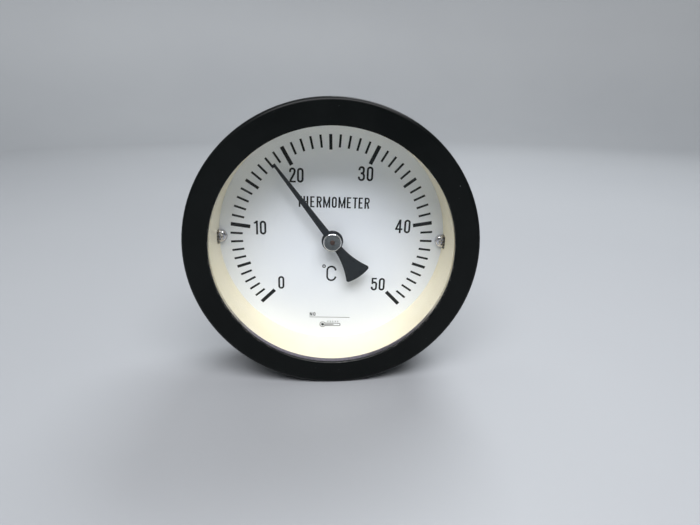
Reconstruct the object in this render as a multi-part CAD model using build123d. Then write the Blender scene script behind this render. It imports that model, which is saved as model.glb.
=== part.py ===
from build123d import *
import os
from math import atan2, degrees, hypot

# Wall-mounted bimetal dial thermometer, 0 to 50 degrees Celsius, with a 112 mm black bezel.
#
# Every piece is first drawn on the bench: the dial lies face up, X to the viewer's right, Y up the
# dial, and Z is the depth measured from the wall face of the case towards the viewer. The last step
# stands each piece up, so that in the finished part +Z is up, the dial looks along -Y, and the
# origin is the centre of the wall face.

# ---- Driving dimensions, in millimetres and degrees ----

BEZEL_RADIUS = 55.9
BEZEL_LENGTH = 23.4
BEZEL_WALL = 2.0
BEZEL_FRONT = 1.1
BEZEL_EDGE_ROUND = 1.5
BEZEL_SKIRT_CHAMFER = 0.4
LIP_RADIUS = 46.35
LIP_CHAMFER = 0.25
TOTAL_DEPTH = 41.4

GASKET_THICKNESS = 0.5
GASKET_SETBACK = 0.5
GLASS_THICKNESS = 2.0
EDGE_GAP = 0.4

PAN_WALL = 1.2
PAN_GAP = 0.2
PAN_CORNER = 2.5
VENT_COUNT = 24
VENT_WIDTH = 2.5
VENT_START = 5.0
VENT_END = 14.5

TRIM_BORE_RADIUS = 46.6
TRIM_WALL = 1.2
NOTCH_WIDTH = 6.0
NOTCH_HEIGHT = 4.2
NOTCH_ROUND = 1.2

DIAL_FRONT = 19.6
DIAL_THICKNESS = 0.8
DIAL_RADIUS = 50.8
DIAL_CENTRE_HOLE = 3.0
DIAL_SCREW_CIRCLE = 45.9
DIAL_SCREW_LENGTH = 6.0
POST_ACROSS_FLATS = 5.5
POST_SCREW_LENGTH = 5.0

# The dial plate sits turned a little clockwise, and its middle marks lag behind even spacing.
DIAL_TURN = 2.2
DIAL_SWEEP = 270.0
SCALE_LAG = 2.5
FULL_SCALE = 50.0
READING = 18.45

POINTER_THICKNESS = 0.5
POINTER_HEIGHT = 4.45
POINTER_DISC_RADIUS = 4.4
POINTER_TIP_RADIUS = 38.3
ARM_ROOT_WIDTH = 3.05
ARM_TIP_WIDTH = 0.98
TAIL_ROOT_WIDTH = 3.2
TAIL_NECK_RADIUS = 3.6
TAIL_WAIST_WIDTH = 5.2
TAIL_WAIST_RADIUS = 10.0
TAIL_END_WIDTH = 11.9
TAIL_END_RADIUS = 19.2
TAIL_BULGE = 1.0
TAIL_CORNER = 0.9

BOSS_RADIUS = 3.7
BOSS_FRONT = 7.2
BOSS_EDGE_ROUND = 0.45
BOSS_DISH = 0.2
BOSS_RIM = 0.25
BOSS_CENTRE = 0.4
BOSS_COLLAR_RADIUS = 2.2
BOSS_COLLAR_LENGTH = 2.6
BOSS_SPIGOT_RADIUS = 1.6

SPINDLE_RADIUS = 1.0
SPINDLE_SETBACK = 0.1
SPINDLE_CHAMFER = 0.2
PIVOT_RADIUS = 0.6
RUNNING_GAP = 0.05
FIT_GAP = 0.02

REAR_PLATE_RADIUS = 23.0
REAR_PLATE_THICKNESS = 1.5
PILLAR_CIRCLE = 19.5
PILLAR_RADIUS = 2.5
PILLAR_LENGTH = 11.8
PILLAR_ANGLES = (90.0, 210.0, 330.0)
PILLAR_SCREW_LENGTH = 6.6
PLATE_SCREW_LENGTH = 5.0
FRONT_PLATE_THICKNESS = 1.2
FRONT_PLATE_HUB_RADIUS = 7.5
FRONT_PLATE_ARM_WIDTH = 6.5

BUSH_RADIUS = 2.5
BUSH_FLANGE_RADIUS = 4.0
BUSH_FLANGE = 0.8

HUB_RADIUS = 3.0
HUB_REAR = 0.3
HUB_FLANGE_RADIUS = 5.5
HUB_FLANGE = 1.2
HUB_SPIGOT_RADIUS = 3.5
PIVOT_REAR = 2.4
END_PLAY = 0.2
WASHER_THICKNESS = 0.3
WASHER_BORE_GAP = 0.1
WASHER_SETBACK = 0.2
ARM_THICKNESS = 1.0
ARM_WIDTH = 4.4
DRIVER_SLOT_WIDTH = 1.0
DRIVER_SLOT_DEPTH = 1.2
CLIP_START = 0.8
CLIP_THICKNESS = 0.35
CLIP_RADIUS = 4.4
CLIP_OPENING = 1.6
GROOVE_DEPTH = 0.6

STRIP_THICKNESS = 0.25
STRIP_WIDTH = 5.0
STRIP_START = 5.8
COIL_INNER_RADIUS = 4.0
COIL_PITCH = 1.4
COIL_HALF_TURNS = 17
COIL_TAIL = 2.0
ANCHOR_POST_RADIUS = 1.1
ANCHOR_POST_DROP = 1.2
ANCHOR_POST_ABOVE_STRIP = 0.6
COLLET_RADIUS = 2.6
COLLET_SHOULDER_RADIUS = 1.8
COLLET_LUG_WIDTH = 1.6
COLLET_LUG_GAP = 0.08

PLUG_RADIUS = 5.0
PLUG_RECESS = 0.05
PLUG_WALL = 0.5
PLUG_FLOOR = 0.2
PLUG_DEPTH = 1.1

KEYHOLE_SPACING = 60.0
KEYHOLE_TOP = 24.0
KEYHOLE_DROP = 9.0
KEYHOLE_ENTRY_RADIUS = 4.75
KEYHOLE_SLOT_RADIUS = 2.5

BEZEL_SCREW_ANGLES = (90.0, 210.0, 330.0)
BEZEL_SCREW_DEPTH = 27.0
BEZEL_SCREW_LENGTH = 5.8
WELD_NUT_SIDE = 7.0
WELD_NUT_THICKNESS = 2.6
WELD_NUT_GAP = 0.15

M3 = {"shank": 1.5, "head": 2.75, "sunk_head": 2.9, "head_height": 2.0, "cross": 2.9}
M25 = {"shank": 1.25, "head": 2.25, "sunk_head": 2.3, "head_height": 1.6, "cross": 2.3}
CROSS_BLADE = 0.55
HOLE_GAP = 0.2
THREAD_GAP = 0.03
HEAD_SETBACK = 0.1

# ---- Depths and radii that follow from them ----

skirt_bore = BEZEL_RADIUS - BEZEL_WALL
pan_radius = skirt_bore - PAN_GAP
pan_bore = pan_radius - PAN_WALL
lip_rear = TOTAL_DEPTH - BEZEL_FRONT
glass_radius = skirt_bore - EDGE_GAP
glass_front = lip_rear - GASKET_THICKNESS
glass_rear = glass_front - GLASS_THICKNESS
trim_flange_rear = glass_rear - TRIM_WALL
dial_rear = DIAL_FRONT - DIAL_THICKNESS
rear_plate_front = PAN_WALL + REAR_PLATE_THICKNESS
flange_rear = rear_plate_front + WASHER_THICKNESS
flange_front = flange_rear + HUB_FLANGE
arm_front = flange_front + ARM_THICKNESS
front_plate_rear = rear_plate_front + PILLAR_LENGTH
front_plate_front = front_plate_rear + FRONT_PLATE_THICKNESS
pointer_rear = DIAL_FRONT + POINTER_HEIGHT
pointer_front = pointer_rear + POINTER_THICKNESS
boss_front = DIAL_FRONT + BOSS_FRONT
coil_outer_radius = COIL_INNER_RADIUS + (COIL_HALF_TURNS - 1) * COIL_PITCH / 2
anchor_x = -coil_outer_radius
anchor_y = -ANCHOR_POST_DROP
scale_part = READING / FULL_SCALE
scale_lag = 4 * SCALE_LAG * scale_part * (1 - scale_part)
pointer_angle = 90.0 + DIAL_SWEEP / 2 - DIAL_TURN - scale_part * DIAL_SWEEP + scale_lag
dial_screw_angles = (-DIAL_TURN, 180.0 - DIAL_TURN)


# ---- Shapes that repeat ----

def disc(radius, start, end):
    """A cylinder on the dial axis between two depths."""
    height = end - start
    return Pos(0, 0, start) * Cylinder(radius, height, align=(Align.CENTER, Align.CENTER, Align.MIN))


def ring(outer, inner, start, end):
    """A flat washer or tube on the dial axis between two depths."""
    return disc(outer, start, end) - disc(inner, start, end)


def polar(radius, angle):
    """A place at a radius and an angle on the dial, its own X pointing outwards."""
    return Rot(0, 0, angle) * Pos(radius, 0, 0)


def cross_recess(reach, depth):
    """The tapered cross that a screwdriver turns, cut down from the plane Z = 0."""
    blade = Box(reach, CROSS_BLADE, depth, align=(Align.CENTER, Align.CENTER, Align.MAX))
    centre = Pos(0, 0, -depth / 2) * Cone(reach * 0.12, reach * 0.26, depth)
    return blade + Rot(0, 0, 90) * blade + centre


def pan_head_screw(size, length):
    """A domed cross-head screw: the head stands on Z = 0 and the shank points down."""
    head = Cylinder(size["head"], size["head_height"], align=(Align.CENTER, Align.CENTER, Align.MIN))
    head = fillet(head.edges().sort_by(Axis.Z)[-1], size["head_height"] * 0.72)
    shank = Cylinder(size["shank"], length, align=(Align.CENTER, Align.CENTER, Align.MAX))
    recess = Pos(0, 0, size["head_height"]) * cross_recess(size["cross"], size["head_height"] * 0.6)
    return head + shank - recess


def sunk_screw(size, length):
    """A countersunk cross-head screw: the head's flat top is on Z = 0 and the shank points down."""
    downwards = (Align.CENTER, Align.CENTER, Align.MAX)
    cone_height = size["sunk_head"] - size["shank"]
    head = Cone(size["shank"], size["sunk_head"], cone_height, align=downwards)
    shank = Cylinder(size["shank"], length, align=downwards)
    return head + shank - cross_recess(size["cross"], cone_height * 0.8)


def sunk_hole(size, length):
    """The clearance hole and countersink that a sunk screw needs, with its mouth on Z = 0."""
    downwards = (Align.CENTER, Align.CENTER, Align.MAX)
    radius = size["sunk_head"] + 2 * THREAD_GAP
    shank = size["shank"] + 2 * THREAD_GAP
    mouth = Cylinder(radius, 2 * HEAD_SETBACK)
    cone = Cone(shank, radius, radius - shank, align=downwards)
    through = Cylinder(shank, length, align=downwards)
    return mouth + Pos(0, 0, -HEAD_SETBACK) * cone + through


def group(shapes):
    """Several separate solids that share one node."""
    return Compound([shape.solid() for shape in shapes])


# ---- Case: pan, bezel, gasket, glass and trim ring ----

def from_behind(depth, radius, angle):
    """A place on the back of the case, its own Z pointing at the wall."""
    return polar(radius, angle) * Pos(0, 0, depth) * Rot(180, 0, 0)


def keyhole(side):
    """A round entry for a screw head, with a slot above it that the screw's neck rides up into."""
    x = side * KEYHOLE_SPACING / 2
    through = 4 * PAN_WALL
    entry = Pos(x, KEYHOLE_TOP - KEYHOLE_DROP, 0) * Cylinder(KEYHOLE_ENTRY_RADIUS, through)
    neck = Pos(x, KEYHOLE_TOP, 0) * Cylinder(KEYHOLE_SLOT_RADIUS, through)
    slot = Box(2 * KEYHOLE_SLOT_RADIUS, KEYHOLE_DROP, through)
    return entry + neck + Pos(x, KEYHOLE_TOP - KEYHOLE_DROP / 2, 0) * slot


def case_pan():
    """A drawn steel pan: flat back with keyholes, side wall with air slots."""
    outside = disc(pan_radius, 0, trim_flange_rear)
    outside = fillet(outside.edges().sort_by(Axis.Z)[0], PAN_CORNER)
    inside = disc(pan_bore, PAN_WALL, trim_flange_rear)
    inside = fillet(inside.edges().sort_by(Axis.Z)[0], PAN_CORNER - PAN_WALL)
    pan = outside - inside
    pan -= disc(PLUG_RADIUS, 0, PAN_WALL)
    pan -= keyhole(-1) + keyhole(1)
    for angle in PILLAR_ANGLES:
        pan -= from_behind(0, PILLAR_CIRCLE, angle) * sunk_hole(M25, PAN_WALL)
    for angle in dial_screw_angles:
        pan -= from_behind(0, DIAL_SCREW_CIRCLE, angle) * sunk_hole(M25, PAN_WALL)
    hole = Rot(0, 90, 0) * Cylinder(M3["shank"] + HOLE_GAP, 4 * PAN_WALL)
    for angle in BEZEL_SCREW_ANGLES:
        pan -= polar(pan_radius, angle) * Pos(0, 0, BEZEL_SCREW_DEPTH) * hole
    length = VENT_END - VENT_START
    vent = Rot(0, 90, 0) * extrude(SlotOverall(length, VENT_WIDTH), 2 * PAN_WALL, both=True)
    for index in range(VENT_COUNT):
        angle = (index + 0.5) * 360 / VENT_COUNT
        pan -= polar(pan_radius, angle) * Pos(0, 0, VENT_START + length / 2) * vent
    return pan


def bezel_ring():
    """The black rim: a flat front with a rounded outer edge and a skirt over the pan."""
    rim = disc(BEZEL_RADIUS, TOTAL_DEPTH - BEZEL_LENGTH, TOTAL_DEPTH)
    rim = fillet(rim.edges().sort_by(Axis.Z)[-1], BEZEL_EDGE_ROUND)
    rim = chamfer(rim.edges().filter_by(GeomType.CIRCLE).sort_by(Axis.Z)[0], BEZEL_SKIRT_CHAMFER)
    rim -= disc(skirt_bore, TOTAL_DEPTH - BEZEL_LENGTH, lip_rear)
    rim -= disc(LIP_RADIUS, lip_rear, TOTAL_DEPTH)
    front_edges = rim.edges().filter_by(GeomType.CIRCLE).group_by(Axis.Z)[-1]
    rim = chamfer(front_edges.sort_by(SortBy.RADIUS)[0], LIP_CHAMFER)
    mouth = Pos(BEZEL_RADIUS, 0, BEZEL_SCREW_DEPTH) * Rot(0, 90, 0) * sunk_hole(M3, 2 * BEZEL_WALL)
    for angle in BEZEL_SCREW_ANGLES:
        rim -= Rot(0, 0, angle) * mouth
    return rim


def trim_ring():
    """The ivory wall round the dial, with a flange under the glass and a notch over each screw."""
    wall_radius = TRIM_BORE_RADIUS + TRIM_WALL
    trim = disc(wall_radius, DIAL_FRONT, glass_rear) + disc(glass_radius, trim_flange_rear, glass_rear)
    trim -= disc(TRIM_BORE_RADIUS, DIAL_FRONT, glass_rear)
    arch = RectangleRounded(2 * NOTCH_HEIGHT, NOTCH_WIDTH, NOTCH_ROUND)
    notch = Rot(0, 90, 0) * extrude(arch, 2 * TRIM_WALL, both=True)
    for angle in dial_screw_angles:
        trim -= polar(TRIM_BORE_RADIUS, angle) * Pos(0, 0, DIAL_FRONT) * notch
    return trim


def bezel_screws():
    seat = Pos(BEZEL_RADIUS - HEAD_SETBACK, 0, BEZEL_SCREW_DEPTH) * Rot(0, 90, 0)
    screw = seat * sunk_screw(M3, BEZEL_SCREW_LENGTH)
    return group([Rot(0, 0, angle) * screw for angle in BEZEL_SCREW_ANGLES])


def bezel_nuts():
    """Square weld nuts inside the pan, tapped for the bezel screws."""
    inwards = (Align.MAX, Align.CENTER, Align.CENTER)
    block = Box(WELD_NUT_THICKNESS, WELD_NUT_SIDE, WELD_NUT_SIDE, align=inwards)
    block -= Rot(0, 90, 0) * Cylinder(M3["shank"] + THREAD_GAP, 3 * WELD_NUT_THICKNESS)
    nut = Pos(pan_bore - WELD_NUT_GAP, 0, BEZEL_SCREW_DEPTH) * block
    return group([Rot(0, 0, angle) * nut for angle in BEZEL_SCREW_ANGLES])


# ---- Dial and the posts that hold it ----

def dial_plate():
    plate = disc(DIAL_RADIUS, dial_rear, DIAL_FRONT) - disc(DIAL_CENTRE_HOLE, dial_rear, DIAL_FRONT)
    hole = disc(M3["shank"] + HOLE_GAP, dial_rear, DIAL_FRONT)
    for angle in dial_screw_angles:
        plate -= polar(DIAL_SCREW_CIRCLE, angle) * hole
    return plate


def dial_screws():
    screw = Pos(0, 0, DIAL_FRONT) * pan_head_screw(M3, DIAL_SCREW_LENGTH)
    return group([polar(DIAL_SCREW_CIRCLE, angle) * screw for angle in dial_screw_angles])


def dial_posts():
    """Hexagonal spacers from the back of the pan to the dial, tapped at both ends."""
    length = dial_rear - PAN_WALL
    hexagon = RegularPolygon(POST_ACROSS_FLATS / 2, 6, major_radius=False)
    post = Pos(0, 0, PAN_WALL) * extrude(hexagon, length)
    post -= disc(M3["shank"] + THREAD_GAP, dial_rear - DIAL_SCREW_LENGTH, dial_rear)
    post -= disc(M25["shank"] + THREAD_GAP, PAN_WALL, PAN_WALL + POST_SCREW_LENGTH)
    return group([polar(DIAL_SCREW_CIRCLE, angle) * post for angle in dial_screw_angles])


def post_screws():
    screw = sunk_screw(M25, POST_SCREW_LENGTH)
    places = [from_behind(HEAD_SETBACK, DIAL_SCREW_CIRCLE, angle) for angle in dial_screw_angles]
    return group([place * screw for place in places])


# ---- Movement frame: two plates on three pillars ----

def rear_plate():
    plate = ring(REAR_PLATE_RADIUS, HUB_RADIUS + RUNNING_GAP, PAN_WALL, rear_plate_front)
    hole = disc(M25["shank"] + HOLE_GAP, PAN_WALL, rear_plate_front)
    for angle in PILLAR_ANGLES:
        plate -= polar(PILLAR_CIRCLE, angle) * hole
    return plate


def pillars():
    pillar = ring(PILLAR_RADIUS, M25["shank"] + THREAD_GAP, rear_plate_front, front_plate_rear)
    return group([polar(PILLAR_CIRCLE, angle) * pillar for angle in PILLAR_ANGLES])


def pillar_screws():
    screw = sunk_screw(M25, PILLAR_SCREW_LENGTH)
    return group([from_behind(HEAD_SETBACK, PILLAR_CIRCLE, angle) * screw for angle in PILLAR_ANGLES])


def front_plate():
    """A three-armed bridge that carries the front bush."""
    plate = disc(FRONT_PLATE_HUB_RADIUS, front_plate_rear, front_plate_front)
    tip = disc(FRONT_PLATE_ARM_WIDTH / 2, front_plate_rear, front_plate_front)
    middle = (front_plate_rear + front_plate_front) / 2
    beam = Box(PILLAR_CIRCLE, FRONT_PLATE_ARM_WIDTH, FRONT_PLATE_THICKNESS)
    beam = Pos(PILLAR_CIRCLE / 2, 0, middle) * beam
    for angle in PILLAR_ANGLES:
        plate += Rot(0, 0, angle) * beam + polar(PILLAR_CIRCLE, angle) * tip
    plate -= disc(BUSH_RADIUS + FIT_GAP, front_plate_rear, front_plate_front)
    hole = disc(M25["shank"] + HOLE_GAP, front_plate_rear, front_plate_front)
    for angle in PILLAR_ANGLES:
        plate -= polar(PILLAR_CIRCLE, angle) * hole
    return plate


def plate_screws():
    screw = Pos(0, 0, front_plate_front) * pan_head_screw(M25, PLATE_SCREW_LENGTH)
    return group([polar(PILLAR_CIRCLE, angle) * screw for angle in PILLAR_ANGLES])


def front_bush():
    """The flanged brass bush in which the spindle's front end turns."""
    rear = front_plate_rear - BUSH_FLANGE
    front = front_plate_front + BUSH_FLANGE
    flange = disc(BUSH_FLANGE_RADIUS, rear, front_plate_rear)
    barrel = disc(BUSH_RADIUS, front_plate_rear, front)
    return flange + barrel - disc(SPINDLE_RADIUS + RUNNING_GAP, rear, front)


# ---- Zero adjuster: a slotted hub that turns the outer end of the coil ----

def adjuster_hub():
    hub = disc(HUB_RADIUS, HUB_REAR, flange_rear) + disc(HUB_FLANGE_RADIUS, flange_rear, flange_front)
    hub += disc(HUB_SPIGOT_RADIUS, flange_front, arm_front)
    groove_end = CLIP_START + CLIP_THICKNESS + FIT_GAP
    hub -= ring(HUB_RADIUS, HUB_RADIUS - GROOVE_DEPTH, CLIP_START - FIT_GAP, groove_end)
    hub -= disc(PIVOT_RADIUS + RUNNING_GAP, PIVOT_REAR - END_PLAY, arm_front)
    upwards = (Align.CENTER, Align.CENTER, Align.MIN)
    slot = Box(4 * HUB_RADIUS, DRIVER_SLOT_WIDTH, DRIVER_SLOT_DEPTH, align=upwards)
    return hub - Pos(0, 0, HUB_REAR) * slot


def retaining_clip():
    """An open spring clip that snaps into the hub's groove behind the rear plate."""
    clip_bore = HUB_RADIUS - GROOVE_DEPTH + RUNNING_GAP
    clip = ring(CLIP_RADIUS, clip_bore, CLIP_START, CLIP_START + CLIP_THICKNESS)
    gap = Box(CLIP_OPENING, CLIP_RADIUS, 2 * CLIP_THICKNESS, align=(Align.CENTER, Align.MIN, Align.CENTER))
    return clip - Pos(0, 0, CLIP_START + CLIP_THICKNESS / 2) * gap


def friction_washer():
    outer = HUB_FLANGE_RADIUS - WASHER_SETBACK
    return ring(outer, HUB_RADIUS + WASHER_BORE_GAP, rear_plate_front, flange_rear)


def anchor_arm():
    """A flat arm on the hub, with the anchor post riveted at its end."""
    reach = hypot(anchor_x, anchor_y)
    arm = disc(HUB_FLANGE_RADIUS, flange_front, arm_front)
    tip = disc(ARM_WIDTH / 2, flange_front, arm_front)
    middle = (flange_front + arm_front) / 2
    beam = Pos(reach / 2, 0, middle) * Box(reach, ARM_WIDTH, ARM_THICKNESS)
    angle = degrees(atan2(anchor_y, anchor_x))
    arm += Rot(0, 0, angle) * beam + polar(reach, angle) * tip
    return arm - disc(HUB_SPIGOT_RADIUS + FIT_GAP, flange_front, arm_front)


def anchor_post():
    """A post with a slot along it that grips the outer end of the coil."""
    top = STRIP_START + STRIP_WIDTH + ANCHOR_POST_ABOVE_STRIP
    post = Pos(anchor_x, anchor_y, 0) * disc(ANCHOR_POST_RADIUS, arm_front, top)
    slot_floor = STRIP_START - RUNNING_GAP
    slot = Box(STRIP_THICKNESS + 2 * FIT_GAP, 4 * ANCHOR_POST_RADIUS, top - slot_floor)
    return post - Pos(anchor_x, anchor_y, (slot_floor + top) / 2) * slot


def coil_edge(offset):
    """One edge of the strip: half circles about two centres half a pitch apart, plus the tail."""
    step = COIL_PITCH / 2
    arcs = []
    for index in range(COIL_HALF_TURNS):
        radius = COIL_INNER_RADIUS + index * step + offset
        centre = step * (index % 2)
        if index % 2 == 0:
            points = [(centre + radius, 0), (centre, radius), (centre - radius, 0)]
        else:
            points = [(centre - radius, 0), (centre, -radius), (centre + radius, 0)]
        arcs.append(ThreePointArc(*points))
    return arcs


def bimetal_coil():
    """The flat spiral of two-metal strip whose inner end turns with temperature."""
    half = STRIP_THICKNESS / 2
    outer = coil_edge(half)
    inner = coil_edge(-half)
    outer_end = anchor_x - half
    inner_end = anchor_x + half
    lines = [
        Line((outer_end, 0), (outer_end, -COIL_TAIL)),
        Line((outer_end, -COIL_TAIL), (inner_end, -COIL_TAIL)),
        Line((inner_end, -COIL_TAIL), (inner_end, 0)),
        Line((COIL_INNER_RADIUS - half, 0), (COIL_INNER_RADIUS + half, 0)),
    ]
    face = make_face(outer + inner + lines)
    return Pos(0, 0, STRIP_START) * extrude(face, STRIP_WIDTH)


# ---- Moving hand: spindle, collet, pointer and boss ----

def spindle():
    shoulder = arm_front + END_PLAY
    shaft = disc(SPINDLE_RADIUS, shoulder, boss_front - SPINDLE_SETBACK)
    shaft = chamfer(shaft.edges().sort_by(Axis.Z)[-1], SPINDLE_CHAMFER)
    return shaft + disc(PIVOT_RADIUS, PIVOT_REAR, shoulder)


def coil_collet():
    """A brass sleeve pressed on the spindle; its lug holds the inner end of the coil."""
    sleeve_start = STRIP_START - END_PLAY
    sleeve_end = STRIP_START + STRIP_WIDTH + END_PLAY
    shoulder_end = front_plate_rear - BUSH_FLANGE - END_PLAY
    sleeve = disc(COLLET_RADIUS, sleeve_start, sleeve_end)
    sleeve += disc(COLLET_SHOULDER_RADIUS, sleeve_end, shoulder_end)
    lug_end = COIL_INNER_RADIUS - STRIP_THICKNESS / 2 - COLLET_LUG_GAP
    lug = Box(lug_end, COLLET_LUG_WIDTH, STRIP_WIDTH, align=(Align.MIN, Align.CENTER, Align.MIN))
    lug = lug & disc(lug_end, 0, STRIP_WIDTH)
    sleeve += Pos(0, 0, STRIP_START) * lug
    return sleeve - disc(SPINDLE_RADIUS + FIT_GAP, sleeve_start, shoulder_end)


def mirrored(point):
    """The point on the other side of the hand's centre line."""
    return (-point[0], point[1])


def pointer_outline():
    """The hand seen from the front, its tip up: tapered arm, disc and flared counterweight."""
    arm = make_face(Polyline(
        (-ARM_ROOT_WIDTH / 2, 0),
        (ARM_ROOT_WIDTH / 2, 0),
        (ARM_TIP_WIDTH / 2, POINTER_TIP_RADIUS),
        (-ARM_TIP_WIDTH / 2, POINTER_TIP_RADIUS),
        close=True,
    ))
    root = TAIL_ROOT_WIDTH / 2
    end = TAIL_END_WIDTH / 2
    flare = TAIL_END_RADIUS - TAIL_BULGE
    neck = (root, -TAIL_NECK_RADIUS)
    waist = (TAIL_WAIST_WIDTH / 2, -TAIL_WAIST_RADIUS)
    corner = (end, -flare)
    right = ThreePointArc(neck, waist, corner)
    bottom = ThreePointArc(corner, (0, -TAIL_END_RADIUS), (-end, -flare))
    left = ThreePointArc(mirrored(corner), mirrored(waist), mirrored(neck))
    top = Polyline(mirrored(neck), (-root, 0), (root, 0), neck)
    tail = make_face([right, bottom, left, top])
    corners = tail.vertices().group_by(Axis.Y)[0]
    tail = fillet(corners, TAIL_CORNER)
    return arm + tail + Circle(POINTER_DISC_RADIUS)


def pointer():
    outline = pointer_outline() - Circle(BOSS_SPIGOT_RADIUS + FIT_GAP)
    blade = Pos(0, 0, pointer_rear) * extrude(outline, POINTER_THICKNESS)
    return Rot(0, 0, pointer_angle - 90) * blade


def pointer_boss():
    """The turned boss that clamps the pointer on the spindle."""
    front = disc(BOSS_RADIUS, pointer_front, boss_front)
    front = fillet(front.edges().sort_by(Axis.Z)[-1], BOSS_EDGE_ROUND)
    dish_radius = BOSS_RADIUS - BOSS_EDGE_ROUND - BOSS_RIM
    dish = Pos(0, 0, boss_front - BOSS_DISH / 2) * Cone(BOSS_CENTRE, dish_radius, BOSS_DISH)
    collar = disc(BOSS_COLLAR_RADIUS, pointer_rear - BOSS_COLLAR_LENGTH, pointer_rear)
    spigot = disc(BOSS_SPIGOT_RADIUS, pointer_rear, pointer_front)
    bore = disc(SPINDLE_RADIUS + FIT_GAP, pointer_rear - BOSS_COLLAR_LENGTH, boss_front)
    return front - dish + collar + spigot - bore


# ---- Plug over the zero adjuster ----

def adjuster_plug():
    """A soft shallow cap, just below the wall face, that closes the hole over the zero adjuster."""
    cap = disc(PLUG_RADIUS - FIT_GAP, PLUG_RECESS, PLUG_DEPTH)
    return cap - disc(PLUG_RADIUS - PLUG_WALL, PLUG_RECESS + PLUG_FLOOR, PLUG_DEPTH)


pieces = {
    "case_pan": case_pan,
    "bezel_ring": bezel_ring,
    "bezel_screws": bezel_screws,
    "bezel_nuts": bezel_nuts,
    "glass_gasket": lambda: ring(glass_radius, LIP_RADIUS + GASKET_SETBACK, glass_front, lip_rear),
    "window_glass": lambda: disc(glass_radius, glass_rear, glass_front),
    "trim_ring": trim_ring,
    "dial_plate": dial_plate,
    "dial_screws": dial_screws,
    "dial_posts": dial_posts,
    "post_screws": post_screws,
    "rear_plate": rear_plate,
    "pillars": pillars,
    "pillar_screws": pillar_screws,
    "front_plate": front_plate,
    "plate_screws": plate_screws,
    "front_bush": front_bush,
    "friction_washer": friction_washer,
    "adjuster_plug": adjuster_plug,
    "adjuster_hub": adjuster_hub,
    "retaining_clip": retaining_clip,
    "anchor_arm": anchor_arm,
    "anchor_post": anchor_post,
    "bimetal_coil": bimetal_coil,
    "spindle": spindle,
    "coil_collet": coil_collet,
    "pointer": pointer,
    "pointer_boss": pointer_boss,
}

os.makedirs("parts", exist_ok=True)
stand_up = Rot(90, 0, 0)
for name, make in pieces.items():
    export_step(stand_up * make(), f"parts/{name}.step")
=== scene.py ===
import math

import bpy
from mathutils import Matrix, Vector
from mathutils.geometry import delaunay_2d_cdt


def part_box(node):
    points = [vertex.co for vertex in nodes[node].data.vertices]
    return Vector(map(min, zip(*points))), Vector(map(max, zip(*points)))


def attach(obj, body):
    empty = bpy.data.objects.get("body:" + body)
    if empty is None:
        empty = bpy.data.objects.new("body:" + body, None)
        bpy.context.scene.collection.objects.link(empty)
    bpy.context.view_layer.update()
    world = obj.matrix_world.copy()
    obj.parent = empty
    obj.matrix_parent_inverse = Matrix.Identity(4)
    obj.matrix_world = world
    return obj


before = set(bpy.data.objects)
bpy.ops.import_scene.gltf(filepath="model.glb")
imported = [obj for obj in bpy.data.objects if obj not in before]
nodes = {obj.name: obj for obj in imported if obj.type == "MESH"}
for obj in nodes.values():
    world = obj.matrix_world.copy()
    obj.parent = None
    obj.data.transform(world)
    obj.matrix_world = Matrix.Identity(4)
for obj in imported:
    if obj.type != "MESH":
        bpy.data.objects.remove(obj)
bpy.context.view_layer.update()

MM = 0.001

# ---- Places that the pieces share: metres and radians; the dial looks along -Y ----

dial_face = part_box("dial_plate")[0].y
ring_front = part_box("trim_ring")[0].y
case_depth = -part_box("bezel_ring")[0].y
case_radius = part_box("bezel_ring")[1].x
LIP_RADIUS = 46.35 * MM
SCREW_REACH = 45.9 * MM
# Radius on the pointer boss beyond which its rim carries a painted highlight.
BOSS_HIGHLIGHT_RADIUS = 3.22 * MM
PRINT_HEIGHT = 0.03 * MM
DIAL_TURN = math.radians(2.2)


# ---- Procedural materials ----

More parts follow.
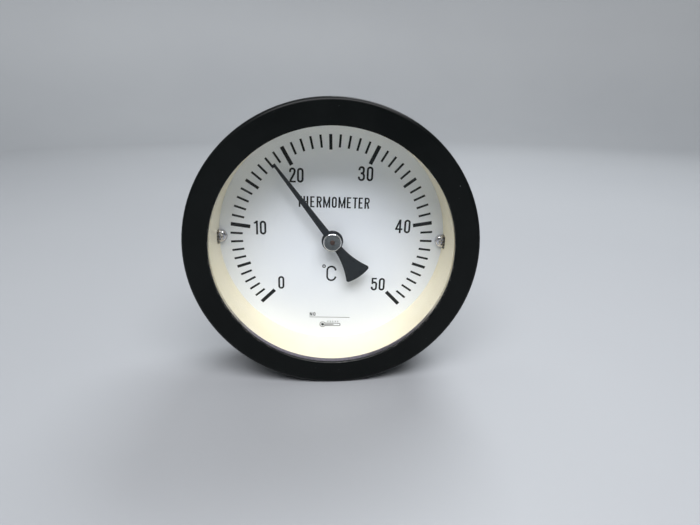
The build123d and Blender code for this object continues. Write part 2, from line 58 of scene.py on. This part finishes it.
class Graph:
    """A material and short calls that add nodes to it."""

    def __init__(self, name):
        self.material = bpy.data.materials.new(name)
        self.material.use_nodes = True
        self.tree = self.material.node_tree
        self.tree.nodes.clear()
        self.output = self.tree.nodes.new("ShaderNodeOutputMaterial")
        self.coords = self.tree.nodes.new("ShaderNodeTexCoord")
        self.place = self.coords.outputs["Object"]

    def node(self, kind, **settings):
        made = self.tree.nodes.new("ShaderNode" + kind)
        for key, value in settings.items():
            setattr(made, key, value)
        return made

    def feed(self, socket, value):
        if isinstance(value, bpy.types.NodeSocket):
            self.tree.links.new(value, socket)
        else:
            socket.default_value = value

    def math(self, operation, first, second=0.0):
        made = self.node("Math", operation=operation)
        self.feed(made.inputs[0], first)
        self.feed(made.inputs[1], second)
        return made.outputs[0]

    def noise(self, scale, detail=2.0, roughness=0.5, place=None, distortion=0.0):
        made = self.node("TexNoise")
        self.feed(made.inputs["Vector"], place or self.place)
        made.inputs["Scale"].default_value = scale
        made.inputs["Detail"].default_value = detail
        made.inputs["Roughness"].default_value = roughness
        made.inputs["Distortion"].default_value = distortion
        return made.outputs["Fac"]

    def cells(self, scale):
        """Distance from the middle of the nearest of many scattered cells."""
        made = self.node("TexVoronoi")
        self.feed(made.inputs["Vector"], self.place)
        made.inputs["Scale"].default_value = scale
        return made.outputs["Distance"]

    def fit(self, value, low, high, out_low=0.0, out_high=1.0, smooth=False):
        """The value moved from the range low to high into the range out_low to out_high."""
        made = self.node("MapRange", interpolation_type="SMOOTHSTEP" if smooth else "LINEAR")
        self.feed(made.inputs["Value"], value)
        limits = {"From Min": low, "From Max": high, "To Min": out_low, "To Max": out_high}
        for name, number in limits.items():
            made.inputs[name].default_value = number
        return made.outputs["Result"]

    def mix(self, share, first, second):
        made = self.node("Mix", data_type="RGBA")
        self.feed(made.inputs[0], share)
        for socket, value in ((made.inputs[6], first), (made.inputs[7], second)):
            self.feed(socket, value if isinstance(value, bpy.types.NodeSocket) else (*value, 1.0))
        return made.outputs[2]

    def split(self, vector=None):
        made = self.node("SeparateXYZ")
        self.feed(made.inputs[0], vector or self.place)
        return made.outputs

    def join(self, x, y, z):
        made = self.node("CombineXYZ")
        for socket, value in zip(made.inputs, (x, y, z)):
            self.feed(socket, value)
        return made.outputs[0]

    def stretch(self, scale):
        made = self.node("Mapping")
        self.feed(made.inputs["Vector"], self.place)
        made.inputs["Scale"].default_value = scale
        return made.outputs[0]

    def radius(self, x_centre=0.0, z_centre=0.0):
        """Distance from an axis that runs along the dial's axis."""
        x, _, z = self.split()
        across = self.math("SUBTRACT", x, x_centre)
        up = self.math("SUBTRACT", z, z_centre)
        squares = self.math("ADD", self.math("MULTIPLY", across, across), self.math("MULTIPLY", up, up))
        return self.math("SQRT", squares)

    def bump(self, height, distance, normal=None):
        made = self.node("Bump")
        made.inputs["Strength"].default_value = 1.0
        made.inputs["Distance"].default_value = distance
        self.feed(made.inputs["Height"], height)
        if normal is not None:
            self.feed(made.inputs["Normal"], normal)
        return made.outputs["Normal"]

    def finish(self, **sockets):
        """The surface itself, with the sockets it is given."""
        shader = self.node("BsdfPrincipled")
        for name, value in sockets.items():
            socket = shader.inputs[name.replace("_", " ")]
            if isinstance(value, tuple) and len(value) == 3 and socket.type == "RGBA":
                value = (*value, 1.0)
            self.feed(socket, value)
        self.tree.links.new(shader.outputs[0], self.output.inputs["Surface"])
        return self.material


def srgb(red, green, blue):
    """A colour given as on a screen, 0 to 255, as the linear colour that shaders use."""
    return tuple(
        value / 255 / 12.92 if value <= 10 else ((value / 255 + 0.055) / 1.055) ** 2.4
        for value in (red, green, blue)
    )


def black_enamel():
    """Satin black stove enamel: fine orange peel, a worn front lip, a little dust."""
    g = Graph("black_enamel")
    radius = g.radius()
    depth = g.math("MULTIPLY", g.split()[1], -1.0)
    cloud = g.noise(38.0, 4.0, 0.6)
    speck_size = g.noise(310.0, 1.0)
    dust = g.math("LESS_THAN", g.cells(480.0), g.fit(speck_size, 0.5, 0.8, 0.0, 0.085))
    near_lip = g.fit(radius, LIP_RADIUS + 0.05 * MM, LIP_RADIUS + 0.45 * MM, 1.0, 0.0, True)
    near_front = g.fit(depth, case_depth - 0.5 * MM, case_depth - 0.1 * MM, 0.0, 1.0, True)
    lip = g.math("MULTIPLY", near_lip, near_front)
    wear = g.math("MULTIPLY", lip, g.fit(g.noise(420.0, 5.0, 0.7), 0.5, 0.72))
    base = g.mix(g.fit(cloud, 0.35, 0.7), srgb(7, 10, 10), srgb(12, 15, 15))
    worn = g.mix(g.math("MULTIPLY", wear, 0.7), base, srgb(96, 94, 92))
    colour = g.mix(g.math("MULTIPLY", dust, 0.55), worn, srgb(176, 182, 180))
    gloss = g.math("ADD", g.fit(cloud, 0.3, 0.7, 0.28, 0.38), g.math("MULTIPLY", dust, 0.3))
    peel = g.math("ADD", g.noise(760.0, 2.0, 0.45), g.math("MULTIPLY", g.noise(2600.0, 1.0), 0.22))
    relief = g.bump(peel, 0.018 * MM)
    relief = g.bump(dust, 0.03 * MM, normal=relief)
    return g.finish(Base_Color=colour, Roughness=gloss, Specular_IOR_Level=0.13, Normal=relief)


GREY_END_DEPTH = 0.03 * MM
GREY_END_LOW = -38.0 * MM
GREY_END_HIGH = -12.0 * MM


def ivory_enamel():
    """Semi-gloss ivory spray enamel in two clouded tones; the ring's cut end turns lilac-grey towards the
    bottom.
    """
    g = Graph("ivory_enamel")
    cloud = g.noise(26.0, 3.0, 0.55)
    fine = g.noise(900.0, 2.0, 0.5)
    colour = g.mix(g.fit(cloud, 0.3, 0.7), srgb(250, 242, 217), srgb(246, 236, 204))
    specks = g.math("GREATER_THAN", g.noise(1500.0, 1.0), 0.74)
    colour = g.mix(g.math("MULTIPLY", specks, 0.35), colour, srgb(176, 158, 120))
    _, y, z = g.split()
    # The ring's front end face is coloured lilac-grey towards the bottom, fading to ivory higher up.
    cut_end = g.math("LESS_THAN", y, ring_front + GREY_END_DEPTH)
    cut_end = g.math("MULTIPLY", cut_end, g.fit(z, GREY_END_LOW, GREY_END_HIGH, 1.0, 0.0, True))
    end_grey = g.mix(g.fit(fine, 0.35, 0.7), srgb(168, 162, 174), srgb(140, 135, 146))
    colour = g.mix(cut_end, colour, end_grey)
    return g.finish(
        Base_Color=colour, Roughness=g.fit(cloud, 0.3, 0.7, 0.27, 0.36),
        Normal=g.bump(fine, 0.012 * MM), Coat_Weight=0.25, Coat_Roughness=0.12,
    )


def dial_white():
    """Satin white lacquer on aluminium with very faint mottling."""
    g = Graph("dial_white")
    cloud = g.noise(22.0, 4.0, 0.6)
    grain = g.noise(1900.0, 2.0, 0.6)
    colour = g.mix(g.fit(cloud, 0.3, 0.7), srgb(240, 244, 249), srgb(233, 238, 245))
    colour = g.mix(g.fit(grain, 0.62, 0.8, 0.0, 0.25), colour, srgb(206, 210, 214))
    return g.finish(
        Base_Color=colour, Roughness=g.fit(cloud, 0.3, 0.7, 0.42, 0.52),
        Normal=g.bump(grain, 0.0015 * MM), Specular_IOR_Level=0.4,
    )


def matt_black(name, tone, gloss):
    """Thin matt black paint or ink with a fine grain."""
    g = Graph(name)
    grain = g.noise(1400.0, 3.0, 0.6)
    colour = g.mix(g.fit(grain, 0.35, 0.7), tone, tuple(value * 1.7 for value in tone))
    return g.finish(
        Base_Color=colour, Roughness=g.fit(grain, 0.3, 0.7, gloss, gloss + 0.12),
        Normal=g.bump(grain, 0.004 * MM), Specular_IOR_Level=0.15,
    )


def turned_metal(name, light, dark, gloss, pitch, radius_of=None, grooves=0.004, highlight_from=None):
    """Lathe-turned metal: fine concentric grooves, dull spots, and beyond a given radius a smoother band
    lightened as a painted highlight.
    """
    g = Graph(name)
    radius = radius_of(g) if radius_of else g.radius()
    wave = g.math("SINE", g.math("MULTIPLY", radius, 2 * math.pi / pitch))
    ragged = g.noise(700.0, 3.0, 0.6)
    rings = g.noise(1.0, 3.0, 0.7, place=g.join(g.math("MULTIPLY", radius, 9000.0), 0.0, 0.0))
    stain = g.noise(240.0, 4.0, 0.65)
    colour = g.mix(g.fit(stain, 0.35, 0.75), light, dark)
    rough = g.math("ADD", g.fit(rings, 0.3, 0.7, gloss, gloss + 0.12), g.fit(stain, 0.5, 0.8, 0.0, 0.12))
    uneven = g.math("ADD", rings, g.math("MULTIPLY", ragged, 0.5))
    height = g.math("ADD", g.math("MULTIPLY", wave, 0.5), uneven)
    # Beyond that radius the roughness drops as on a polished rim, and the colour is lightened as a painted
    # highlight.
    if highlight_from:
        polish_and_highlight = g.fit(radius, highlight_from, highlight_from + 0.12 * MM, 0.0, 1.0, True)
        colour = g.mix(polish_and_highlight, colour, srgb(226, 226, 229))
        rough = g.math("MULTIPLY", rough, g.math("SUBTRACT", 1.0, g.math("MULTIPLY", polish_and_highlight, 0.55)))
    relief = g.bump(height, grooves * MM)
    return g.finish(Base_Color=colour, Metallic=1.0, Roughness=rough, Anisotropic=0.5, Normal=relief)


def plain_metal(name, light, dark, low, high, scratch=True):
    """Plated or rolled metal with clouding, fine scratches and dull patches."""
    g = Graph(name)
    cloud = g.noise(170.0, 4.0, 0.6)
    fine = g.noise(900.0, 3.0, 0.6)
    colour = g.mix(g.fit(cloud, 0.32, 0.7), light, dark)
    dulling = g.math("ADD", g.math("MULTIPLY", cloud, 0.6), g.math("MULTIPLY", fine, 0.4))
    rough = g.fit(dulling, 0.3, 0.7, low, high)
    relief = g.bump(fine, 0.006 * MM)
    if scratch:
        lines = g.noise(1.0, 2.0, 0.5, place=g.stretch((60.0, 300.0, 2600.0)))
        relief = g.bump(lines, 0.006 * MM, normal=relief)
    return g.finish(Base_Color=colour, Metallic=1.0, Roughness=rough, Normal=relief)


def black_rubber():
    """Dull moulded black rubber with a fine grain."""
    g = Graph("rubber")
    cloud = g.noise(120.0, 3.0, 0.6)
    grain = g.noise(1500.0, 3.0, 0.65)
    colour = g.mix(g.fit(cloud, 0.3, 0.7), srgb(26, 26, 27), srgb(44, 43, 42))
    rough = g.fit(cloud, 0.3, 0.7, 0.62, 0.8)
    return g.finish(Base_Color=colour, Roughness=rough, Normal=g.bump(grain, 0.03 * MM))


def two_metal_strip():
    """Brass-coloured on its inner side and steel-coloured on its outer side, with rolling lines."""
    g = Graph("bimetal_strip")
    x, _, z = g.split()
    normal_x, _, normal_z = g.split(g.coords.outputs["Normal"])
    outwards = g.math("ADD", g.math("MULTIPLY", x, normal_x), g.math("MULTIPLY", z, normal_z))
    side = g.math("GREATER_THAN", outwards, 0.0)
    lines = g.noise(1.0, 3.0, 0.6, place=g.stretch((90.0, 5200.0, 90.0)))
    cloud = g.noise(210.0, 3.0, 0.6)
    colour = g.mix(side, srgb(196, 158, 92), srgb(168, 168, 166))
    colour = g.mix(g.fit(cloud, 0.45, 0.8, 0.0, 0.5), colour, srgb(118, 104, 84))
    rough = g.fit(lines, 0.3, 0.7, 0.26, 0.42)
    return g.finish(Base_Color=colour, Metallic=1.0, Roughness=rough, Normal=g.bump(lines, 0.004 * MM))


MIRROR_HEAD_ON = 0.018
MIRROR_AT_SLANT = 0.96


def clear_glass():
    """Float glass, faintly smeared: it lets the light through and mirrors mostly at a slant."""
    g = Graph("clear_glass")
    facing = g.node("LayerWeight")
    facing.inputs["Blend"].default_value = 0.5
    slant = g.math("POWER", facing.outputs["Facing"], 5.0)
    share = g.math("ADD", g.math("MULTIPLY", slant, MIRROR_AT_SLANT), MIRROR_HEAD_ON)
    clear = g.node("BsdfTransparent")
    clear.inputs["Color"].default_value = (0.985, 0.99, 0.987, 1.0)
    mirror = g.node("BsdfGlossy")
    smear = g.noise(55.0, 5.0, 0.65, distortion=0.6)
    g.feed(mirror.inputs["Roughness"], g.fit(smear, 0.45, 0.75, 0.015, 0.09))
    mixed = g.node("MixShader")
    g.feed(mixed.inputs[0], share)
    g.tree.links.new(clear.outputs[0], mixed.inputs[1])
    g.tree.links.new(mirror.outputs[0], mixed.inputs[2])
    g.tree.links.new(mixed.outputs[0], g.output.inputs["Surface"])
    return g.material


def screw_radius(g):
    """Distance from the nearer dial screw's own axis."""
    side = g.math("SIGN", g.split()[0])
    x_centre = g.math("MULTIPLY", side, SCREW_REACH * math.cos(DIAL_TURN))
    z_centre = g.math("MULTIPLY", side, -SCREW_REACH * math.sin(DIAL_TURN))
    return g.radius(x_centre, z_centre)


enamel = black_enamel()
# The pointer boss's nickel is painted dark, so its flat face shows a painted dark reflection; its rim carries
# a painted highlight.
boss_nickel_painted_dark = turned_metal(
    "turned_nickel_painted_dark", srgb(116, 120, 121), srgb(92, 97, 98), gloss=0.1, pitch=0.11 * MM,
    highlight_from=BOSS_HIGHLIGHT_RADIUS,
)
screw_nickel = turned_metal(
    "screw_nickel", srgb(214, 213, 218), srgb(184, 183, 190), gloss=0.05, pitch=0.3 * MM,
    radius_of=screw_radius, grooves=0.0012,
)
zinc = plain_metal("zinc_plate", srgb(190, 194, 200), srgb(150, 154, 160), 0.28, 0.46)
brass = plain_metal("brass", srgb(206, 170, 98), srgb(168, 128, 66), 0.26, 0.44)
tarnished = plain_metal("tarnished_bronze", srgb(104, 82, 74), srgb(74, 58, 54), 0.3, 0.5)
steel = plain_metal("ground_steel", srgb(170, 168, 164), srgb(128, 122, 114), 0.22, 0.4)
dark_screw = plain_metal("black_oxide", srgb(44, 44, 46), srgb(28, 28, 30), 0.36, 0.55, scratch=False)
ink = matt_black("dial_ink", srgb(8, 13, 15), 0.5)

finishes = {
    "case_pan": enamel,
    "bezel_ring": enamel,
    "trim_ring": ivory_enamel(),
    "window_glass": clear_glass(),
    "dial_plate": dial_white(),
    "pointer": matt_black("pointer_paint", srgb(20, 25, 29), 0.44),
    "pointer_boss": boss_nickel_painted_dark,
    "dial_screws": screw_nickel,
    "bezel_screws": dark_screw,
    "bimetal_coil": two_metal_strip(),
}
groups = (
    (zinc, (
        "bezel_nuts", "dial_posts", "plate_screws", "pillar_screws", "post_screws", "friction_washer",
        "retaining_clip",
    )),
    (brass, (
        "rear_plate", "front_plate", "front_bush", "pillars", "adjuster_hub", "coil_collet", "anchor_post",
    )),
    (steel, ("anchor_arm",)),
    (tarnished, ("spindle",)),
    (black_rubber(), ("glass_gasket", "adjuster_plug")),
)
for material, names in groups:
    for name in names:
        finishes[name] = material
for name, node in nodes.items():
    for index in range(max(1, len(node.data.materials))):
        if index < len(node.data.materials):
            node.data.materials[index] = finishes[name]
        else:
            node.data.materials.append(finishes[name])


# ---- Print on the dial: drawn in millimetres from its middle, across and up ----

def arc(x, y, across, up, start, end, steps=12):
    """Points on part of an ellipse; angles in degrees, counter-clockwise from the right."""
    points = []
    for index in range(steps + 1):
        angle = math.radians(start + (end - start) * index / steps)
        points.append((x + across * math.cos(angle), y + up * math.sin(angle)))
    return points


def ribbon(points, width, closed=False):
    """The strip of that width along a line of points, as quads that share their corners."""
    count = len(points)
    rails = []
    for index, point in enumerate(points):
        here = Vector(point)
        before = Vector(points[index - 1]) if closed or index else None
        after = Vector(points[(index + 1) % count]) if closed or index < count - 1 else None
        run_in = (here - before).normalized() if before is not None else (after - here).normalized()
        run_out = (after - here).normalized() if after is not None else run_in
        side = Vector((-run_in.y - run_out.y, run_in.x + run_out.x)).normalized()
        reach = width / 2 / max(0.35, side.dot(Vector((-run_in.y, run_in.x))))
        rails.append((here + side * reach, here - side * reach))
    spans = range(count if closed else count - 1)
    return [(rails[i][0], rails[i][1], rails[(i + 1) % count][1], rails[(i + 1) % count][0]) for i in spans]


def bar(x0, y0, x1, y1):
    """An upright rectangle."""
    return [(Vector((x0, y0)), Vector((x1, y0)), Vector((x1, y1)), Vector((x0, y1)))]


# Figures and capitals are strokes that stand on a base line at height 0.
FIGURE_HEIGHT = 5.85
FIGURE_STROKE = 0.8
LETTER_HEIGHT = 4.55
LETTER_STROKE = 0.68


def stadium(width, height, stroke):
    """The closed upright loop of an O or a nought."""
    across = (width - stroke) / 2
    low, high = width / 2, height - width / 2
    top = arc(width / 2, high, across, across, 0, 180)
    bottom = arc(width / 2, low, across, across, 180, 360)
    return ribbon(top + bottom, stroke, closed=True)


def figure(sign):
    """Quads of one figure with its left edge at 0, and its width."""
    high, pen = FIGURE_HEIGHT, FIGURE_STROKE
    half = pen / 2
    if sign == "0":
        return stadium(2.62, high, pen), 2.62
    if sign == "1":
        stem = bar(0.86, 0, 0.86 + pen, high)
        flag = ribbon([(0.0, 4.85), (0.62, 4.95), (1.1, 5.6)], 0.62)
        return stem + flag, 0.86 + pen
    if sign == "2":
        curve = [(half, 4.05)] + arc(1.32, 4.55, 1.32 - half, 0.95, 178, -18, 16)
        curve += [(2.02, 3.55), (1.45, 2.45), (0.85, 1.4), (0.5, 0.62)]
        return ribbon(curve, pen) + bar(0.1, 0, 2.65, 0.66), 2.72
    if sign == "3":
        upper = [(half, 4.25)] + arc(1.28, 4.62, 1.28 - half, 0.87, 176, -12, 16)
        upper += arc(1.2, 3.9, 0.96, 0.83, 10, -80, 6)
        lower = arc(1.2, 2.0, 1.12, 1.06, 82, 0, 6) + arc(1.32, 1.37, 1.0, 1.0, 0, -176, 16) + [(half, 1.7)]
        return ribbon(upper + [(0.95, 3.08)], pen) + ribbon([(0.95, 3.06)] + lower, pen), 2.66
    if sign == "4":
        stem = bar(1.68, 0, 1.68 + pen, high)
        slant = ribbon([(1.98, high - 0.2), (0.36, 1.6)], pen * 0.92)
        return stem + slant + bar(0.06, 1.35, 3.08, 2.04), 3.1
    top = bar(0.12, high - 0.68, 2.32, high)
    back = bar(0.12, 2.95, 0.12 + pen * 0.92, high)
    bowl = arc(1.22, 2.95, 0.98, 0.84, 150, 0, 10) + arc(1.24, 1.34, 0.96, 0.97, 0, -176, 16)
    bowl += [(half - 0.06, 1.7)]
    return top + back + ribbon(bowl, pen), 2.58


def letter(sign):
    """Quads of one capital with its left edge at 0."""
    high, pen = LETTER_HEIGHT, LETTER_STROKE
    half = pen / 2
    if sign == "O":
        return stadium(2.06, high, pen)
    if sign == "T":
        return bar(0, high - 0.55, 1.92, high) + bar(0.65, 0, 0.65 + pen, high)
    if sign == "H":
        return bar(0, 0, pen, high) + bar(1.3, 0, 1.3 + pen, high) + bar(0, 2.05, 1.3 + pen, 2.58)
    if sign == "E":
        arms = bar(0, 0, 1.72, 0.55) + bar(0, high - 0.55, 1.72, high) + bar(0, 2.08, 1.5, 2.6)
        return bar(0, 0, pen, high) + arms
    if sign == "M":
        legs = bar(0, 0, pen, high) + bar(2.9 - pen, 0, 2.9, high)
        return legs + ribbon([(half, high - 0.3), (1.45, 0.5), (2.9 - half, high - 0.3)], pen * 0.86)
    bowl = [(half, high - 0.29)] + arc(1.12, high - 1.24, 0.68, 0.95, 90, -90, 12) + [(half, high - 2.19)]
    return bar(0, 0, pen, high) + ribbon(bowl, 0.58) + ribbon([(1.12, 2.4), (1.74, 0.0)], pen)


def moved(quads, across, up):
    """The same strokes in another place."""
    shift = Vector((across, up))
    return [tuple(corner + shift for corner in quad) for quad in quads]


MERGE_WITHIN = 1e-4


def printed(name, quads):
    """One thin layer of ink on the dial: the union of all strokes, closed on every side."""
    corners = []
    loops = []
    for quad in quads:
        area = sum(quad[i - 1].cross(quad[i]) for i in range(len(quad)))
        order = quad if area > 0 else quad[::-1]
        loops.append(list(range(len(corners), len(corners) + len(order))))
        corners.extend(order)
    points, _, faces, _, _, sources = delaunay_2d_cdt(corners, [], loops, 0, MERGE_WITHIN)
    tops = [face for face, source in zip(faces, sources) if source]
    used = sorted({index for face in tops for index in face})
    place = {index: number for number, index in enumerate(used)}
    tops = [[place[index] for index in face] for face in tops]
    count = len(used)
    turn_cos, turn_sin = math.cos(DIAL_TURN), math.sin(DIAL_TURN)
    vertices = []
    for height in (PRINT_HEIGHT, 0.0):
        for index in used:
            across, up = points[index]
            x = across * turn_cos + up * turn_sin
            z = up * turn_cos - across * turn_sin
            vertices.append((x * MM, dial_face - height, z * MM))
    edges = {(face[i - 1], face[i]) for face in tops for i in range(len(face))}
    rim = [(start, end) for start, end in sorted(edges) if (end, start) not in edges]
    walls = [(end, start, start + count, end + count) for start, end in rim]
    bottoms = [[index + count for index in reversed(face)] for face in tops]
    mesh = bpy.data.meshes.new(name)
    mesh.from_pydata(vertices, [], tops + walls + bottoms)
    mesh.update()
    piece = bpy.data.objects.new(name, mesh)
    bpy.context.scene.collection.objects.link(piece)
    mesh.materials.append(ink)
    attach(piece, "case")


SCALE_START = math.radians(-135.0)
SCALE_SWEEP = math.radians(270.0)
SCALE_LAG = math.radians(2.5)
FULL_SCALE = 50

# How far every fifth mark stands off the smooth scale, in degrees clockwise.
MARK_SHIFTS = (0.36, 0.0, -0.57, -0.35, -0.17, 0.17, 0.24, 0.2, 0.12, -0.06, -0.24)


def scale_angle(value):
    """Where a temperature stands on the dial, clockwise from its own top."""
    part = value / FULL_SCALE
    fifth = min(value // 5, len(MARK_SHIFTS) - 2)
    share = value / 5 - fifth
    shift = MARK_SHIFTS[fifth] * (1 - share) + MARK_SHIFTS[fifth + 1] * share
    return SCALE_START + SCALE_SWEEP * part - SCALE_LAG * 4 * part * (1 - part) + math.radians(shift)


# Where each kind of mark starts, and how wide it is.
MARK_OUTER = 42.0
MARKS = {"long": (34.05, 1.54), "middle": (36.05, 1.2), "short": (37.0, 0.88)}

marks = []
for value in range(FULL_SCALE + 1):
    kind = "long" if value % 10 == 0 else "middle" if value % 5 == 0 else "short"
    inner, width = MARKS[kind]
    heading = Vector((math.sin(scale_angle(value)), math.cos(scale_angle(value))))
    marks += ribbon([heading * inner, heading * MARK_OUTER], width)
printed("dial_marks", marks)

# Each number's left edge and base line, and the gap after each figure.
NUMBERS = (
    ("0", -22.72, -23.4), ("10", -32.35, 0.75), ("20", -17.85, 22.72),
    ("30", 9.7, 24.12), ("40", 26.05, 2.8), ("50", 17.42, -23.4),
)
FIGURE_GAP = {"1": 0.75, "2": 0.42, "3": 0.72, "4": 0.68, "5": 0.7}

numbers = []
for text, across, up in NUMBERS:
    for sign in text:
        quads, width = figure(sign)
        numbers += moved(quads, across, up)
        across += width + FIGURE_GAP.get(sign, 0.0)
printed("dial_numbers", numbers)

WORD_BASE = 12.8
WORD = (
    ("T", -14.65), ("H", -12.12), ("E", -9.36), ("R", -6.76), ("M", -4.12), ("O", -0.6),
    ("M", 2.1), ("E", 5.52), ("T", 7.95), ("E", 10.32), ("R", 12.78),
)
word = []
for sign, across in WORD:
    word += moved(letter(sign), across, WORD_BASE)
printed("dial_word", word)

# The unit: a tall C, open to the right, and a degree ring.
UNIT_STROKE = 0.76
C_RADIUS = 1.78
RING_RADIUS = 0.58
upper_bend = arc(0.0, -14.5, C_RADIUS, C_RADIUS, 0, 180, 16)
lower_bend = arc(0.0, -17.25, C_RADIUS, C_RADIUS, 180, 360, 16)
unit = ribbon(upper_bend + lower_bend, UNIT_STROKE)
unit += ribbon(arc(-3.2, -12.62, RING_RADIUS, RING_RADIUS, 0, 345, 23), 0.4, closed=True)
printed("dial_unit", unit)

# The field for a serial number: NO and the line under its blank.
SMALL_HEIGHT = 1.65
SMALL_STROKE = 0.32
SMALL_BASE = -36.05
small_n = bar(0, 0, SMALL_STROKE, SMALL_HEIGHT) + bar(0.8, 0, 0.8 + SMALL_STROKE, SMALL_HEIGHT)
small_n += ribbon([(0.16, 1.6), (0.96, 0.05)], 0.3)
number_field = bar(-9.25, -36.74, 8.6, -36.56)
number_field += moved(small_n, -9.05, SMALL_BASE)
number_field += moved(stadium(1.0, SMALL_HEIGHT, SMALL_STROKE), -7.55, SMALL_BASE)
printed("dial_number_field", number_field)

# A thermometer lying on its side, with a short scale above its tube.
BULB_AT = (-3.3, -40.2)
TUBE_END = (3.9, -40.2)
mark = ribbon(arc(*BULB_AT, 1.2, 1.2, 30, 330, 20) + arc(*TUBE_END, 0.6, 0.6, -90, 90, 10), 0.26, closed=True)
mark += bar(BULB_AT[0], BULB_AT[1] - 0.14, 1.5, BULB_AT[1] + 0.14)
mark += [tuple(Vector(p) for p in arc(*BULB_AT, 0.64, 0.64, 0, 337.5, 15))]
for step in range(5):
    left = -1.1 + step * 1.1
    mark += bar(left, -39.15, left + 0.24, -38.35)
printed("dial_pictogram", mark)


# ---- Floor, light and camera: not part of the object ----

floor_level = -case_radius
floor_graph = Graph("pale_floor")
floor_cloud = floor_graph.noise(3.0, 3.0, 0.5)
floor_tone = floor_graph.mix(floor_cloud, srgb(148, 151, 154), srgb(156, 159, 161))
floor_finish = floor_graph.finish(
    Base_Color=floor_tone, Roughness=0.55, Normal=floor_graph.bump(floor_graph.noise(600.0, 2.0), 0.02 * MM)
)

# A round floor that curves up into a wall on all sides, so that it fills every view.
SWEEP_RADIUS = 1.6
SWEEP_HEIGHT = 1.6
SWEEP_CORNER = 0.5
SWEEP_SIDES = 96
BEND_STEP = 6
flat = SWEEP_RADIUS - SWEEP_CORNER
profile = [(radius, 0.0) for radius in (0.02, 0.3, 0.7, flat)]
for tilt in range(BEND_STEP, 91, BEND_STEP):
    bend = math.radians(tilt)
    profile.append((flat + SWEEP_CORNER * math.sin(bend), SWEEP_CORNER * (1 - math.cos(bend))))
profile.append((SWEEP_RADIUS, SWEEP_HEIGHT))
sweep_points = []
for side in range(SWEEP_SIDES):
    turn_by = 2 * math.pi * side / SWEEP_SIDES
    sweep_points += [(r * math.cos(turn_by), r * math.sin(turn_by), floor_level + z) for r, z in profile]
span = len(profile)
sweep_faces = [tuple(side * span for side in range(SWEEP_SIDES))]
for side in range(SWEEP_SIDES):
    near, far = side * span, (side + 1) % SWEEP_SIDES * span
    sweep_faces += [(near + i, near + i + 1, far + i + 1, far + i) for i in range(span - 1)]
sweep_mesh = bpy.data.meshes.new("backdrop")
sweep_mesh.from_pydata(sweep_points, [], sweep_faces)
sweep_mesh.materials.append(floor_finish)
for polygon in sweep_mesh.polygons:
    polygon.use_smooth = True
backdrop = bpy.data.objects.new("backdrop", sweep_mesh)
bpy.context.scene.collection.objects.link(backdrop)

dial_centre = Vector((0.0, dial_face, 0.0))


def area_light(name, place, power, width, height, colour, target=dial_centre):
    """A rectangular soft box that faces its target, the middle of the dial unless told otherwise."""
    data = bpy.data.lights.new(name, "AREA")
    data.shape = "RECTANGLE"
    data.size = width
    data.size_y = height
    data.energy = power
    data.color = colour
    lamp = bpy.data.objects.new(name, data)
    bpy.context.scene.collection.objects.link(lamp)
    lamp.location = place
    lamp.rotation_euler = (Vector(target) - Vector(place)).to_track_quat("-Z", "Y").to_euler()


# A broad key from above and in front, a weak fill from the left, a rim light from behind, and a wash.
KEY_DISTANCE = 0.95
KEY_TILT = math.radians(56.0)
key_place = dial_centre + KEY_DISTANCE * Vector((0.02, -math.cos(KEY_TILT), math.sin(KEY_TILT)))
area_light("key", key_place, 14.6, 1.0, 0.46, (0.975, 0.965, 1.0))
area_light("fill", (-0.9, -1.0, 0.35), 0.3, 0.8, 0.8, (0.94, 0.97, 1.0))
area_light("rim", (0.35, 0.55, 0.9), 8.0, 0.7, 0.3, (0.93, 0.96, 1.0))
area_light("backdrop_wash", (0.0, 0.75, 1.25), 16.0, 1.8, 0.3, (0.97, 0.98, 1.0), target=(0.0, 1.6, 0.2))

world = bpy.data.worlds.new("studio")
world.use_nodes = True
background = world.node_tree.nodes["Background"]
background.inputs["Color"].default_value = (0.86, 0.9, 0.95, 1.0)
background.inputs["Strength"].default_value = 0.02
bpy.context.scene.world = world
bpy.context.scene.view_settings.view_transform = "Standard"

# The camera stands and looks as the photo's did.
CAMERA_PLACE = Vector((-1.11 * MM, -207.04 * MM, 55.42 * MM))
CAMERA_FORWARD = Vector((0.04276, 0.94167, -0.33381))
CAMERA_UP = Vector((0.01514, 0.33346, 0.94264))
camera_data = bpy.data.cameras.new("camera")
camera_data.lens = 24.0
camera_data.sensor_width = 36.0
camera_data.clip_start = 0.01
camera = bpy.data.objects.new("camera", camera_data)
bpy.context.scene.collection.objects.link(camera)
right = CAMERA_FORWARD.cross(CAMERA_UP).normalized()
turn = Matrix((right, right.cross(CAMERA_FORWARD).normalized(), -CAMERA_FORWARD)).transposed()
camera.matrix_world = Matrix.Translation(CAMERA_PLACE) @ turn.to_4x4()
bpy.context.scene.camera = camera
